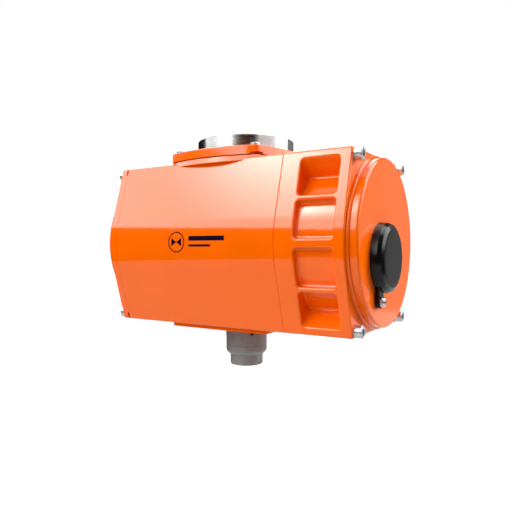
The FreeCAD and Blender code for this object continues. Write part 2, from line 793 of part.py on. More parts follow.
def make_worm_wheel():
    """Bronze wheel whose teeth lean with the worm's lead, keyed to the output shaft."""
    width = value("wheel_width")
    lean = WORM_LEAD / (2 * math.pi * WORM_PITCH_RADIUS) / (WHEEL_TEETH * WHEEL_MODULE / 2)
    gap_towards_worm = -math.pi / 2 + math.pi / WHEEL_TEETH
    sections = []
    for height in (0.0, width / 2, width):
        first = gap_towards_worm + lean * (height - width / 2)
        sections.append(gear_outline(WHEEL_TEETH, WHEEL_MODULE, first, MESH_BACKLASH, height))
    blank = Part.makeLoft(sections, True, True)
    blank = blank.cut(Part.makeCylinder(value("journal_radius"), width + 2, V(0, 0, -1)))
    keyway = Part.makeBox(8, 6, width + 2, V(10, -3, -1))
    item = doc.addObject("Part::Feature", "worm_wheel")
    item.Shape = blank.cut(keyway)
    return node(item, "worm_wheel", z="drive_z - wheel_width / 2")


def make_worm():
    """Single-start right-hand worm cut on its own shaft, which also carries the driven gear."""
    thread_from, thread_to = -18.0, 18.0
    slope = math.tan(math.radians(20))
    pitch_half = WORM_LEAD / 4 - MESH_BACKLASH / 2
    tip = WORM_PITCH_RADIUS + WHEEL_MODULE
    root = 7.2
    tip_half = pitch_half - slope * (tip - WORM_PITCH_RADIUS)
    root_half = pitch_half + slope * (WORM_PITCH_RADIUS - root)
    turns = round((thread_to - thread_from) / WORM_LEAD)
    length = turns * WORM_LEAD
    begin = -(turns // 2) * WORM_LEAD
    helix = Part.makeHelix(WORM_LEAD, length, root)
    helix.translate(V(0, 0, begin))
    profile = Part.makePolygon([
        V(root, 0, begin - root_half),
        V(tip, 0, begin - tip_half),
        V(tip, 0, begin + tip_half),
        V(root, 0, begin + root_half),
        V(root, 0, begin - root_half),
    ])
    thread = Part.Wire(helix.Edges).makePipeShell([profile], True, True)
    core = Part.makeCylinder(7.5, 54, V(0, 0, -27))
    journals = Part.makeCylinder(5, 102, V(0, 0, -42))
    item = doc.addObject("Part::Feature", "worm_shaft")
    item.Shape = core.fuse(thread).fuse(journals)
    return node(item, "worm_shaft", y="worm_y", z="drive_z", turn=ALONG_X)


# ---------------------------------------------------------------- output drive


def make_output_shaft():
    body = turned("output_shaft", [
        ("0", "-95.7"),
        ("12", "-95.7"),
        ("12", "-half_height - pad_thick - 0.2"),
        ("journal_radius", "-half_height - pad_thick - 0.2"),
        ("journal_radius", "-24"),
        ("18", "-24"),
        ("18", "drive_z - wheel_width / 2"),
        ("journal_radius", "drive_z - wheel_width / 2"),
        ("journal_radius", "2"),
        ("12", "2"),
        ("12", "12"),
        ("10", "12"),
        ("10", "34"),
        ("8", "34"),
        ("8", "54"),
        ("4", "54"),
        ("4", "89"),
        ("0", "89"),
    ])
    key_seat = rectangle(sketch_on(body, "XY_Plane", "drive_z - 6"), "11.5", "20", "-3", "3")
    pocket(body, key_seat, "12")
    return node(body, "output_shaft")


def make_wheel_key():
    return node(box("11.5", "16", "-3", "3", "0", "12"), "wheel_key", x="11.5", y="-3", z="drive_z - 6")


SET_SCREW_ANGLE = -43
SET_SCREW_Z = "-83"


def make_drive_sleeve():
    """Cast drive sleeve on the shaft's lower end, with the keyed bore for the valve stem."""
    top = "-half_height - pad_thick - 0.3"
    body = turned("sleeve_turning", [
        ("12", top),
        ("sleeve_radius - 0.5", top),
        ("sleeve_radius", top + " - 0.5"),
        ("sleeve_radius", "-95.8"),
        ("sleeve_radius - 0.25", "-96"),
        ("sleeve_radius", "-96.2"),
        ("sleeve_radius", "-101.2"),
        ("sleeve_radius - 0.6", "-102.5"),
        ("sleeve_nose_radius + 1.4", "-104.5"),
        ("sleeve_nose_radius", "-105"),
        ("sleeve_nose_radius", "-sleeve_end + 1.3"),
        ("sleeve_nose_radius - 0.4", "-sleeve_end + 0.4"),
        ("sleeve_nose_radius - 1.4", "-sleeve_end"),
        ("stem_radius + 0.8", "-sleeve_end"),
        ("stem_radius", "-sleeve_end + 0.8"),
        ("stem_radius", "-96"),
        ("12", "-96"),
    ])
    keyway = rectangle(sketch_on(body, "XY_Plane", "-sleeve_end"), "0", "stem_radius + 2.8", "-3", "3")
    pocket(body, keyway, "sleeve_end - 96")
    # the set screw lies in a radial hole and presses on the shaft
    outwards = FreeCAD.Rotation(V(0, 0, 1), SET_SCREW_ANGLE).multiply(FreeCAD.Rotation(V(0, 1, 0), 90))
    node(cut(body, cylinder("2.5", "30", z=SET_SCREW_Z, turn=outwards)), "drive_sleeve")
    screw = cut(cylinder("2.48", "4.6", z="12.05"), prism(6, "2.5", "3", z="14.5"))
    node(screw, "sleeve_set_screw", z=SET_SCREW_Z, turn=outwards)


def make_stop_plate():
    """Two arms at right angles that meet the stop screws at the ends of the quarter turn."""
    reach = "34"
    face = "11.9"
    arms = fuse(
        cylinder("18", "8"),
        box("-" + reach, "0", "-8", face, "0", "8"),
        box("-8", face, "-" + reach, "0", "0", "8"),
    )
    return node(cut(common(arms, cylinder(reach, "8")), cylinder("12", "10", z="-1")), "stop_plate", z="3")


def make_cams():
    cams = []
    for level, turn in (("41", 0), ("46", 90)):
        lobe = common(cylinder("17", "4"), box("0", "20", "-6", "6", "0", "4"))
        shape = cut(fuse(cylinder("14", "4"), lobe), cylinder("8", "6", z="-1"))
        cams.append(place(shape, 0, 0, level, FreeCAD.Rotation(V(0, 0, 1), turn)))
    return node(group(*cams), "switch_cams")


def make_pointer():
    """Position pointer: a hub with a bar that ends in an arrow head, on the spindle under the window."""
    body = new_body("pointer")
    sketch = sketch_on(body, "XY_Plane")
    outline(sketch, [
        ("-2.5", "-16"),
        ("2.5", "-16"),
        ("2.5", "22"),
        ("7", "22"),
        ("0", "34"),
        ("-7", "22"),
        ("-2.5", "22"),
    ])
    pad(body, sketch, "1.6")
    pad(body, circles(sketch_on(body, "XY_Plane"), "8", [("0", "0")]), "3")
    holes(body, "XY_Plane", "0", "3", "4", [("0", "0")])
    return node(body, "position_pointer", z="%s + gasket_thick + top_thick + 2.6" % TOP_Z)


# ---------------------------------------------------------------- input train

TRAIN_X = "50"
MOTOR_GEAR_X = "62"
HAND_GEAR_TEETH = 22
WORM_GEAR_TEETH = 32
MOTOR_WHEEL_TEETH = 60
PINION_TEETH = 16
DIAL_GEAR_TEETH = 48


def make_gear_train():
    hand_module = 2 * value("hand_y - worm_y") / (WORM_GEAR_TEETH + HAND_GEAR_TEETH)
    worm_gear = spur_gear("worm_shaft_gear", WORM_GEAR_TEETH, hand_module, 6, 5, math.pi / WORM_GEAR_TEETH)
    node(worm_gear, "worm_shaft_gear", TRAIN_X, "worm_y", "drive_z", ALONG_X)
    small = spur_gear("small", HAND_GEAR_TEETH, hand_module, 6, 6, math.pi)
    rise = value("motor_z - drive_z")
    run = value("motor_y - hand_y")
    bearing_angle = math.atan2(rise, run)
    train_module = 2 * math.hypot(run, rise) / (MOTOR_WHEEL_TEETH + PINION_TEETH)
    large = spur_gear("large", MOTOR_WHEEL_TEETH, train_module, 6, 6, bearing_angle)
    large.Placement = FreeCAD.Placement(V(0, 0, value("%s - %s" % (MOTOR_GEAR_X, TRAIN_X))), UPRIGHT)
    node(group(small, large), "hand_shaft_gears", TRAIN_X, "hand_y", "drive_z", ALONG_X)
    pinion_angle = bearing_angle + math.pi + math.pi / PINION_TEETH
    pinion = spur_gear("pinion", PINION_TEETH, train_module, 6, 3.5, pinion_angle)
    pinion.Placement = FreeCAD.Placement(V(0, 0, value(MOTOR_GEAR_X + " - 60")), UPRIGHT)
    node(fuse(pinion, cylinder("3.5", "60")), "motor_shaft", "60", "motor_y", "motor_z", ALONG_X)
    dial_gear = spur_gear("feedback_gear", DIAL_GEAR_TEETH, 1.0, 4, 8, 0.0)
    node(dial_gear, "feedback_gear", z="34")
    follower = spur_gear("follower", PINION_TEETH, 1.0, 4, 2.5, math.pi + math.pi / PINION_TEETH)
    follower.Placement = FreeCAD.Placement(V(0, 0, 14.2), UPRIGHT)
    node(fuse(follower, cylinder("2.5", "20")), "potentiometer_spindle", x="32", z="19.8")


def make_hand_shaft():
    body = turned("hand_shaft_turning", [
        ("0", "38"),
        ("5", "38"),
        ("5", "49"),
        ("6", "49"),
        ("6", "137.7"),
        ("5.5", "138.2"),
        ("0", "138.2"),
    ])
    socket = prism(6, "5", "9", z="130")
    return node(cut(body, socket), "hand_shaft", y="hand_y", z="drive_z", turn=ALONG_X)


def make_motor():
    can = turned("motor_can", [
        ("4.5", "71.5"),
        ("motor_radius", "71.5"),
        ("motor_radius", "75"),
        ("motor_radius - 1", "75.5"),
        ("motor_radius - 1", "118"),
        ("motor_radius", "118.5"),
        ("motor_radius", "123"),
        ("motor_radius - 2.5", "125.5"),
        ("0", "125.5"),
        ("0", "121"),
        ("4.5", "121"),
    ])
    tapped = [cylinder("1.95", "8", x, y, "71") for x, y in MOTOR_SCREWS]
    node(cut(can, *tapped), "motor_housing", y="motor_y", z="motor_z", turn=ALONG_X)
    screws = []
    for x, y in MOTOR_SCREWS:
        screw = fuse(cylinder("1.9", "9", z="69"), cylinder("3.6", "1.8", z="68.6"))
        screws.append(place(cut(screw, prism(6, "2.5", "2", z="68")), x, y))
    node(group(*screws), "motor_screws", y="motor_y", z="motor_z", turn=ALONG_X)


def make_gear_plate():
    """Round plate at the housing's mouth that carries the motor and steadies the hand-drive shaft."""
    body = new_body("gear_plate")
    disc = circles(sketch_on(body, "YZ_Plane", "plate_x"), "cavity_radius - 0.4", [("0", "0")])
    pad(body, disc, "plate_thick")
    motor_screws = [("motor_y " + y, "motor_z " + z) for y, z in MOTOR_SCREWS]
    cable_holes = [("0", "48"), ("-38", "28")]
    for radius, places in (("9", [("hand_y", "drive_z")]), ("5", [("motor_y", "motor_z")]),
                           ("2", motor_screws), ("2.1", LUGS), ("9", cable_holes)):
        holes(body, "YZ_Plane", "plate_x", "plate_thick", radius, places)
    holes(body, "YZ_Plane", "plate_x", "2", "3.8", motor_screws)
    return node(body, "gear_plate")


# ---------------------------------------------------------------- control deck


def make_deck():
    body = new_body("deck_plate")
    sheet_outline = sketch_on(body, "XY_Plane", "deck_z")
    pad(body, rectangle(sheet_outline, "deck_left_x", "deck_right_x", "-deck_y", "deck_y"), "deck_thick")
    soften(body, "Fillet", "6", lambda edge: abs(edge.Length - value("deck_thick")) < 1e-3)
    holes(body, "XY_Plane", "deck_z", "deck_thick", "14", [("0", "0")])
    holes(body, "XY_Plane", "deck_z", "deck_thick", "4", [("32", "0")])
    holes(body, "XY_Plane", "deck_z", "deck_thick", "2.1", DECK_SCREWS)
    holes(body, "XY_Plane", "deck_z", "deck_thick", "10", [("-60", "-46"), ("-60", "46")])
    return node(body, "deck_plate")


def make_controls():
    top = "deck_z + deck_thick"
    sensor = cut(fuse(cylinder("11", "9"), cylinder("4", "3", z="9")), cylinder("2.54", "14", z="4"))
    node(sensor, "potentiometer", x="32", z="deck_z - 10.5")
    switches = []
    for level in ("40", "46"):
        case = box("-10", "10", "19.5", "29.5", "0", "5.8")
        guide = cylinder("1.25", "3", "0", "19.5", "2.9", ALONG_Y)
        pins = [box("%s - 1" % x, "%s + 1" % x, "29.5", "33", "2.4", "3.4") for x in ("-7", "0", "7")]
        switches.append(place(cut(fuse(case, *pins), guide), 0, 0, level))
    node(group(*switches), "limit_switches")
    shelf = fuse(box("-12", "12", "18.5", "36", "0", "1.2"), box("-12", "12", "34.8", "36", "-9.8", "1.2"))
    foot = box("-12", "12", "34.8", "46", "-9.8", "-8.6")
    bracket = fuse(shelf, foot)
    node(bracket, "switch_bracket", z="%s + 9.8" % top)
    board = box("-84", "-30", "-35", "35", "0", "1.6")
    corners = [(x, y) for x in ("-80", "-34") for y in ("-31", "31")]
    node(cut(board, *[cylinder("1.6", "4", x, y, "-1") for x, y in corners]), "circuit_board",
         z=top + " + 7")
    node(group(*[cylinder("3", "7", x, y) for x, y in corners]), "board_standoffs", z=top)
    block = box("-80", "-66", "-30", "30", "8.6", "20.6")
    funnels = []
    for index in range(10):
        y = "%g" % (-27 + 6 * index)
        funnels.append(box("-81", "-74.5", y + " - 2", y + " + 2", "10.5", "14.5"))
        funnels.append(cylinder("1.8", "9", "-71.5", y, "13"))
    node(cut(block, *funnels), "terminal_block", z=top)
    relays = [box("-60", "-45", y_from, y_to, "8.6", "23.6") for y_from, y_to in (("-26", "-8"), ("8", "26"))]
    node(group(*relays), "control_relays", z=top)
    fin_places = ["%g" % (6 + 4.8 * index) for index in range(6)]
    fins = [box(x, x + " + 1.5", "-50", "-34", "3", "12") for x in fin_places]
    node(fuse(box("5", "33", "-50", "-34", "0", "3"), *fins), "heater", z=top)


CAPACITOR_Z = "-22"


def make_capacitor():
    can = turned("capacitor_can", [
        ("0", "-92"),
        ("15", "-92"),
        ("16", "-91"),
        ("16", "-43"),
        ("15", "-42"),
        ("0", "-42"),
    ])
    node(can, "motor_capacitor", z=CAPACITOR_Z, turn=ALONG_X)
    band = ring("17.5", "16", "10", "-72", "0", CAPACITOR_Z, ALONG_X)
    foot = box("-72", "-62", "-6", "6", "-65.6", "-38.8")
    node(fuse(band, foot), "capacitor_clamp")


# ---------------------------------------------------------------- switch plungers and hand-drive cap


def make_plungers():
    for name, level in (("open_switch_plunger", "42.9"), ("closed_switch_plunger", "48.9")):
        body = turned(name, [
            ("0", "0.3"),
            ("0.9", "0"),
            ("1.2", "0.3"),
            ("1.2", "3.5"),
            ("0", "3.5"),
        ])
        node(body, name, y="17.9", z=level, turn=ALONG_Y)


def make_hand_cap():
    """Black cover over the hand-drive socket, with a lug below its left side that swings on one screw."""
    front = "right_length + cap_length + step_rise + disc_rise + 0.2"
    thick = "hand_cap_rise - 0.2"
    dish = turned("hand_cap_dish", [
        ("hand_cap_radius - 3", "0"),
        ("hand_cap_radius", "0"),
        ("hand_cap_radius - 0.6", "(%s) - 4.6" % thick),
        ("hand_cap_radius - 2", "(%s) - 1.6" % thick),
        ("hand_cap_radius - 5", "(%s) - 0.2" % thick),
        ("hand_cap_radius - 8", thick),
        ("0", thick),
        ("0", "(%s) - 2.6" % thick),
        ("hand_cap_radius - 5.6", "(%s) - 2.6" % thick),
        ("hand_cap_radius - 3", "(%s) - 5.6" % thick),
    ])
    aside = "(cap_screw_y - hand_y)"
    drop = "(cap_screw_z - drive_z)"
    left, right = aside + " - lug_half_width", aside + " + lug_half_width"
    shank = box(left, right, drop, "-hand_cap_radius / 2", "0", "3.5")
    lug = fuse(cylinder("lug_half_width", "3.5", aside, drop), shank)
    lug = cut(lug, cylinder("hand_cap_radius - 3", "4"))
    cover = cut(fuse(dish, lug), cylinder("2 + running_gap", "6", aside, drop, "-1"))
    node(cover, "hand_drive_cap", front, "hand_y", "drive_z", ALONG_X)
    screw = turned("pan_head", [
        ("0", "-4.9"),
        ("2", "-4.9"),
        ("2", "3.8"),
        ("4.2", "3.8"),
        ("4.2", "5"),
        ("3.6", "6.2"),
        ("2.4", "6.8"),
        ("0", "7"),
    ])
    slots = [box("-2.4", "2.4", "-0.45", "0.45", "5", "8"), box("-0.45", "0.45", "-2.4", "2.4", "5", "8")]
    node(cut(screw, *slots), "hand_cap_screw", front, "cap_screw_y", "cap_screw_z", ALONG_X)


# ---------------------------------------------------------------- outside fasteners and cable entries


def socket_screw(radius, length, head_radius, head_rise, across_flats):
    """A socket head screw whose head stands on Z = 0 and whose shank runs down."""
    head = turned("screw", [
        ("0", "-(%s)" % length),
        (radius, "-(%s)" % length),
        (radius, "0"),
        (head_radius, "0"),
        (head_radius, "(%s) - 0.7" % head_rise),
        ("(%s) - 0.7" % head_radius, head_rise),
        ("0", head_rise),
    ])
    return cut(head, prism(6, across_flats, head_rise, z="(%s) * 0.42" % head_rise))


def screw_set(name, places, turn, radius, length, head_radius, head_rise, across_flats):
    screws = []
    for x, y, z in places:
        screw = socket_screw(radius, length, head_radius, head_rise, across_flats)
        screws.append(place(screw, x, y, z, turn))
    return node(group(*screws), name)


def make_cover_fasteners():
    leftward = FreeCAD.Rotation(V(0, 1, 0), -90)
    face = "right_length + cap_length"
    seat = face + " + washer_thick"
    head_rise = "screw_head_rise - washer_thick + 0.4"
    screw_set("end_cap_screws", [(seat, y, z) for y, z in CORNERS], ALONG_X,
              "screw_radius - 0.05", "cap_length + washer_thick + 18", "screw_head_radius", head_rise, "5")
    washers = []
    for y, z in CORNERS:
        split = box("0", "screw_head_radius + 1", "-0.35", "0.35", "-1", "washer_thick + 1")
        washer = cut(ring("screw_head_radius - 0.1", "screw_radius + 0.1", "washer_thick"), split)
        washers.append(place(washer, face, y, z, ALONG_X))
    node(group(*washers), "end_cap_washers")
    outside = "-left_length - rear_thick"
    screw_set("rear_cover_screws", [(outside, y, z) for y, z in CORNERS], leftward,
              "screw_radius - 0.05", "rear_thick + 18", "screw_head_radius", "screw_head_rise", "5")
    top = "%s + gasket_thick + top_thick" % TOP_Z
    screw_set("top_cover_screws", [(x, y, top) for x, y in PLATE_CORNERS], UPRIGHT,
              "2.45", "top_thick + gasket_thick + 8", "4.25", "2.6", "3")
    small = ("1.95", "8.5", "3.5", "3.4", "3")
    plate_screws = [place(socket_screw(*small), "plate_x + plate_thick", y, z, ALONG_X) for y, z in LUGS]
    deck_screws = [place(socket_screw(*small), x, y, "deck_z + deck_thick") for x, y in DECK_SCREWS]
    node(group(*plate_screws, *deck_screws), "inner_screws")


def make_rear_wall_fittings():
    """Stop screws with lock nuts, two cable glands and the earth screw, on the back wall."""
    stops, nuts = [], []
    for x in ("-" + STOP_X, STOP_X):
        shank = cut(cylinder("3.97", "74"), prism(6, "4", "6", z="69"))
        stops.append(place(shank, x, "12", STOP_Z, ALONG_Y))
        nut = cut(prism(6, "13", "6.5"), cylinder("3.98", "8", z="-1"))
        nuts.append(place(nut, x, "spot_face_y", STOP_Z, ALONG_Y))
    node(group(*stops), "stop_screws")
    node(group(*nuts), "stop_lock_nuts")
    bodies, domes, seals = [], [], []
    for x in GLANDS_X:
        tail = cylinder("9.97", "11", z="-11")
        spigot = cylinder("10", "12", z="6")
        outside = fuse(prism(6, "24", "6"), tail, spigot)
        body = cut(outside, cylinder("8", "20", z="2"), cylinder("6.5", "16", z="-12"))
        bodies.append(place(body, x, "spot_face_y", 0, ALONG_Y))
        cap = fuse(prism(6, "24", "7", z="6.3"), cone("11.6", "8.5", "7", "13.3"))
        dome = cut(cap, cylinder("10.03", "13", z="5.5"), cylinder("6.5", "20", z="5"))
        domes.append(place(dome, x, "spot_face_y", 0, ALONG_Y))
        seals.append(ring("7.95", "5", "16", x, "spot_face_y + 2", 0, ALONG_Y))
    node(group(*bodies), "cable_gland_bodies")
    node(group(*domes), "cable_gland_nuts")
    node(group(*seals), "cable_gland_seals")
    screw = fuse(cylinder("2.45", "6.5", z="-5.5"), cylinder("6", "1"), cylinder("4.25", "3.5", z="1"))
    earth = cut(screw, box("-5", "5", "-0.5", "0.5", "3.2", "6"))
    node(earth, "earth_screw", x=EARTH_X, y="spot_face_y", turn=ALONG_Y)


# ---------------------------------------------------------------- build, check and write


def main():
    make_housing()
    make_end_cap()
    make_rear_cover()
    make_top_cover()
    make_o_rings()
    make_top_gasket()
    make_bezel()
    make_bearings()
    make_worm_wheel()
    make_worm()
    make_output_shaft()
    make_wheel_key()
    make_drive_sleeve()
    make_stop_plate()
    make_cams()
    make_pointer()
    make_gear_train()
    make_hand_shaft()
    make_motor()
    make_gear_plate()
    make_deck()
    make_controls()
    make_capacitor()
    make_plungers()
    make_hand_cap()
    make_cover_fasteners()
    make_rear_wall_fittings()
    doc.recompute()
    for item in doc.Objects:
        if "Invalid" in item.State or "Error" in item.State:
            raise RuntimeError("%s (%s) has failed" % (item.Name, item.Label))
    os.makedirs("parts", exist_ok=True)
    for item in nodes:
        if item.Shape.isNull() or not item.Shape.isValid():
            raise RuntimeError("%s has no valid shape" % item.Label)
        item.Shape.exportStep("parts/%s.step" % item.Label)
    print("%d sub-parts written" % len(nodes))


main()
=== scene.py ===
"""Looks of a motorized quarter-turn valve actuator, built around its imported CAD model.

Metres, in the frame of the CAD model: +X along the barrel towards the hand-drive cap, -Y the front, +Z up.
The origin is at the centre of the valve flange face.
"""

import math

import bmesh
import bpy
from mathutils import Matrix, Vector


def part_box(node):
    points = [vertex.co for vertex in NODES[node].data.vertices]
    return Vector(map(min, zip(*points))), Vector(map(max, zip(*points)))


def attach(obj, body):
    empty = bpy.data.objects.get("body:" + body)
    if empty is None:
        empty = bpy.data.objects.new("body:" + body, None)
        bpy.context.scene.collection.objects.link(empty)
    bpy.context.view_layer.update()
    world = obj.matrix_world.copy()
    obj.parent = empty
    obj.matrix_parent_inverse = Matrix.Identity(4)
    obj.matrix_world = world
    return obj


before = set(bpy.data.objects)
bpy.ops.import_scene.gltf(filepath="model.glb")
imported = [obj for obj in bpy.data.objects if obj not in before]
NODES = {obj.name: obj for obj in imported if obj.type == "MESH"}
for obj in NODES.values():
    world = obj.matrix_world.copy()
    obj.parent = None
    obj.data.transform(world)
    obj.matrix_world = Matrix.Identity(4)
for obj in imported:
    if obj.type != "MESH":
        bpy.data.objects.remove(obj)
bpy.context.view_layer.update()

MM = 0.001
TURNED_RADIUS = 20 * MM  # turns an angle into a length, for the detail of turned pieces

# Places read from the frame
BARREL_RADIUS = -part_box("housing")[0].y
BARREL_AXIS_Z = (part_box("end_cap")[0].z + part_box("end_cap")[1].z) / 2
DIAL_FACE_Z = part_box("dial_plate")[0].z + 1.0 * MM

# ---------------------------------------------------------------- materials


class Finish:
    """A material with one Principled shader, and short ways to add procedural detail in object space."""

    def __init__(self, name, colour, roughness, metallic=0.0, **sockets):
        self.material = bpy.data.materials.new(name)
        self.material.use_nodes = True
        self.tree = self.material.node_tree
        self.shader = self.tree.nodes["Principled BSDF"]
        self.place = self.node("ShaderNodeTexCoord").outputs["Object"]
        self.set(**{"Base Color": (*colour, 1.0), "Roughness": roughness, "Metallic": metallic})
        self.set(**sockets)
        self.height = None

    def set(self, **sockets):
        for socket, value in sockets.items():
            self.shader.inputs[socket.replace("_", " ")].default_value = value

    def node(self, kind, **properties):
        made = self.tree.nodes.new(kind)
        for key, value in properties.items():
            setattr(made, key, value)
        return made

    def link(self, source, target):
        self.tree.links.new(source, target)

    def math(self, operation, first, second=None):
        made = self.node("ShaderNodeMath", operation=operation)
        for socket, value in zip(made.inputs, (first, second)):
            if value is None:
                continue
            if isinstance(value, (int, float)):
                socket.default_value = value
            else:
                self.link(value, socket)
        return made.outputs["Value"]

    def noise(self, size, detail=2.0, stretch=(1, 1, 1), place=None):
        """Noise with features of about this size, in metres, stretched along the axes."""
        mapping = self.node("ShaderNodeMapping")
        mapping.inputs["Scale"].default_value = [1 / (size * along) for along in stretch]
        self.link(place or self.place, mapping.inputs["Vector"])
        noise = self.node("ShaderNodeTexNoise")
        noise.inputs["Scale"].default_value = 1.0
        noise.inputs["Detail"].default_value = detail
        self.link(mapping.outputs["Vector"], noise.inputs["Vector"])
        return noise.outputs["Fac"]

    def around(self, centre=(0, 0, 0), axis="Z"):
        """Coordinates of a turned piece: radius, angle as a length and height about an axis."""
        shift = self.node("ShaderNodeMapping", vector_type="TEXTURE")
        shift.inputs["Location"].default_value = centre
        self.link(self.place, shift.inputs["Vector"])
        split = self.node("ShaderNodeSeparateXYZ")
        self.link(shift.outputs["Vector"], split.inputs["Vector"])
        across, other, along = {"Z": "XYZ", "X": "YZX", "Y": "ZXY"}[axis]
        first, second = split.outputs[across], split.outputs[other]
        squares = self.math("ADD", self.math("MULTIPLY", first, first), self.math("MULTIPLY", second, second))
        radius = self.math("SQRT", squares)
        angle = self.math("ARCTAN2", second, first)
        join = self.node("ShaderNodeCombineXYZ")
        self.link(radius, join.inputs["X"])
        self.link(self.math("MULTIPLY", angle, TURNED_RADIUS), join.inputs["Y"])
        self.link(split.outputs[along], join.inputs["Z"])
        return join.outputs["Vector"]

    def ramp(self, factor, *stops):
        made = self.node("ShaderNodeValToRGB")
        elements = made.color_ramp.elements
        while len(elements) < len(stops):
            elements.new(0.5)
        for element, (position, colour) in zip(elements, stops):
            element.position = position
            element.color = (*colour, 1.0) if isinstance(colour, tuple) else (colour, colour, colour, 1.0)
        self.link(factor, made.inputs["Fac"])
        return made.outputs["Color"]

    def mottle(self, factor, dark, light):
        """The base colour wanders between two tones."""
        self.link(self.ramp(factor, (0.3, dark), (0.7, light)), self.shader.inputs["Base Color"])

    def rough(self, factor, low, high):
        self.link(self.ramp(factor, (0.3, low), (0.7, high)), self.shader.inputs["Roughness"])

    def bump(self, factor, depth):
        """Raises the surface by up to this depth, in metres, on top of earlier bumps."""
        made = self.node("ShaderNodeBump")
        made.inputs["Strength"].default_value = 1.0
        made.inputs["Distance"].default_value = depth
        self.link(factor, made.inputs["Height"])
        if self.height is not None:
            self.link(self.height, made.inputs["Normal"])
        self.height = made.outputs["Normal"]
        self.link(self.height, self.shader.inputs["Normal"])
        if self.shader.inputs["Coat Weight"].default_value > 0:
            self.link(self.height, self.shader.inputs["Coat Normal"])


def shades(colour, spread):
    """A darker and a lighter tone of a colour."""
    return tuple(c * (1 - spread) for c in colour), tuple(min(1.0, c * (1 + spread)) for c in colour)


def orange_paint():
    """Glossy stoved paint on a die casting: saturated orange with a slight orange-peel surface."""
    colour = (0.86, 0.122, 0.0)
    paint = Finish("orange_paint", colour, 0.1)
    paint.mottle(paint.noise(45 * MM, detail=3), *shades(colour, 0.03))
    paint.rough(paint.noise(18 * MM), 0.07, 0.12)
    paint.bump(paint.noise(2.6 * MM, detail=1.5), 0.016 * MM)
    paint.bump(paint.noise(14 * MM, detail=1.0), 0.04 * MM)
    return paint.material


def brushed_ring():
    """Stainless ring, brushed around its circumference: reflections are drawn out up and down."""
    colour = (0.56, 0.555, 0.55)
    steel = Finish("brushed_ring", colour, 0.26, 1.0, Anisotropic=0.85, Anisotropic_Rotation=0.25)
    tangent = steel.node("ShaderNodeTangent", direction_type="RADIAL", axis="Z")
    steel.link(tangent.outputs["Tangent"], steel.shader.inputs["Tangent"])
    place = steel.around()
    lines = steel.noise(0.10 * MM, detail=3, stretch=(1, 500, 1), place=place)
    bands = steel.noise(0.9 * MM, detail=2, stretch=(1, 60, 1), place=place)
    steel.mottle(lines, *shades(colour, 0.16))
    steel.rough(bands, 0.24, 0.29)
    steel.bump(lines, 0.0002 * MM)
    return steel.material


def bright_steel():
    """Plated screws, washers and nuts: bright, with faint forming marks."""
    colour = (0.56, 0.56, 0.57)
    steel = Finish("bright_steel", colour, 0.26, 0.78)
    steel.mottle(steel.noise(1.5 * MM), *shades(colour, 0.16))
    steel.rough(steel.noise(0.8 * MM, detail=3), 0.18, 0.34)
    steel.bump(steel.noise(0.5 * MM), 0.004 * MM)
    return steel.material


def cast_grey():
    """Blasted steel of the drive sleeve: dull, fine-grained, with faint turning lines."""
    colour = (0.29, 0.275, 0.27)
    steel = Finish("cast_grey", colour, 0.5, 0.7)
    steel.mottle(steel.noise(0.7 * MM, detail=6), *shades(colour, 0.22))
    steel.rough(steel.noise(1.1 * MM, detail=3), 0.44, 0.62)
    steel.bump(steel.noise(0.45 * MM, detail=4), 0.03 * MM)
    steel.bump(steel.noise(0.6 * MM, stretch=(1, 400, 1), place=steel.around()), 0.01 * MM)
    return steel.material


def machined_steel():
    colour = (0.50, 0.50, 0.50)
    steel = Finish("machined_steel", colour, 0.3, 1.0)
    steel.mottle(steel.noise(2 * MM, detail=4), *shades(colour, 0.12))
    steel.rough(steel.noise(1 * MM, detail=3), 0.24, 0.38)
    steel.bump(steel.noise(0.25 * MM, detail=2, stretch=(1, 1, 6)), 0.003 * MM)
    return steel.material


def plate_aluminium():
    """Rolled sheet with its grain along X."""
    colour = (0.66, 0.67, 0.68)
    sheet = Finish("plate_aluminium", colour, 0.34, 1.0)
    grain = sheet.noise(0.3 * MM, detail=3, stretch=(60, 1, 1))
    sheet.mottle(grain, *shades(colour, 0.10))
    sheet.rough(sheet.noise(6 * MM), 0.28, 0.42)
    sheet.bump(grain, 0.003 * MM)
    return sheet.material


def nickel_brass():
    """Nickel plating with a warm cast."""
    colour = (0.74, 0.70, 0.62)
    metal = Finish("nickel_brass", colour, 0.22, 1.0)
    metal.mottle(metal.noise(3 * MM, detail=3), *shades(colour, 0.07))
    metal.rough(metal.noise(1.2 * MM, detail=3), 0.17, 0.30)
    metal.bump(metal.noise(0.6 * MM), 0.003 * MM)
    return metal.material


def bronze():
    colour = (0.60, 0.33, 0.13)
    metal = Finish("bronze", colour, 0.35, 1.0)
    metal.mottle(metal.noise(1.6 * MM, detail=5), *shades(colour, 0.16))
    metal.rough(metal.noise(0.9 * MM, detail=3), 0.28, 0.45)
    metal.bump(metal.noise(0.35 * MM, detail=3), 0.006 * MM)
    return metal.material


def moulded(name, colour, roughness, grain=0.35 * MM, depth=0.006 * MM, **sockets):
    """Moulded plastic or rubber with a fine spark-eroded grain."""
    plastic = Finish(name, colour, roughness, **sockets)
    plastic.mottle(plastic.noise(9 * MM, detail=3), *shades(colour, 0.08))
    plastic.rough(plastic.noise(2.5 * MM, detail=3), roughness - 0.05, roughness + 0.06)
    plastic.bump(plastic.noise(grain, detail=3), depth)
    return plastic.material


def window():
    """Clear safety glass with a slight green edge."""
    glass = Finish("window", (0.93, 0.97, 0.96), 0.02, Alpha=0.16, IOR=1.5)
    glass.rough(glass.noise(20 * MM), 0.01, 0.03)
    return glass.material


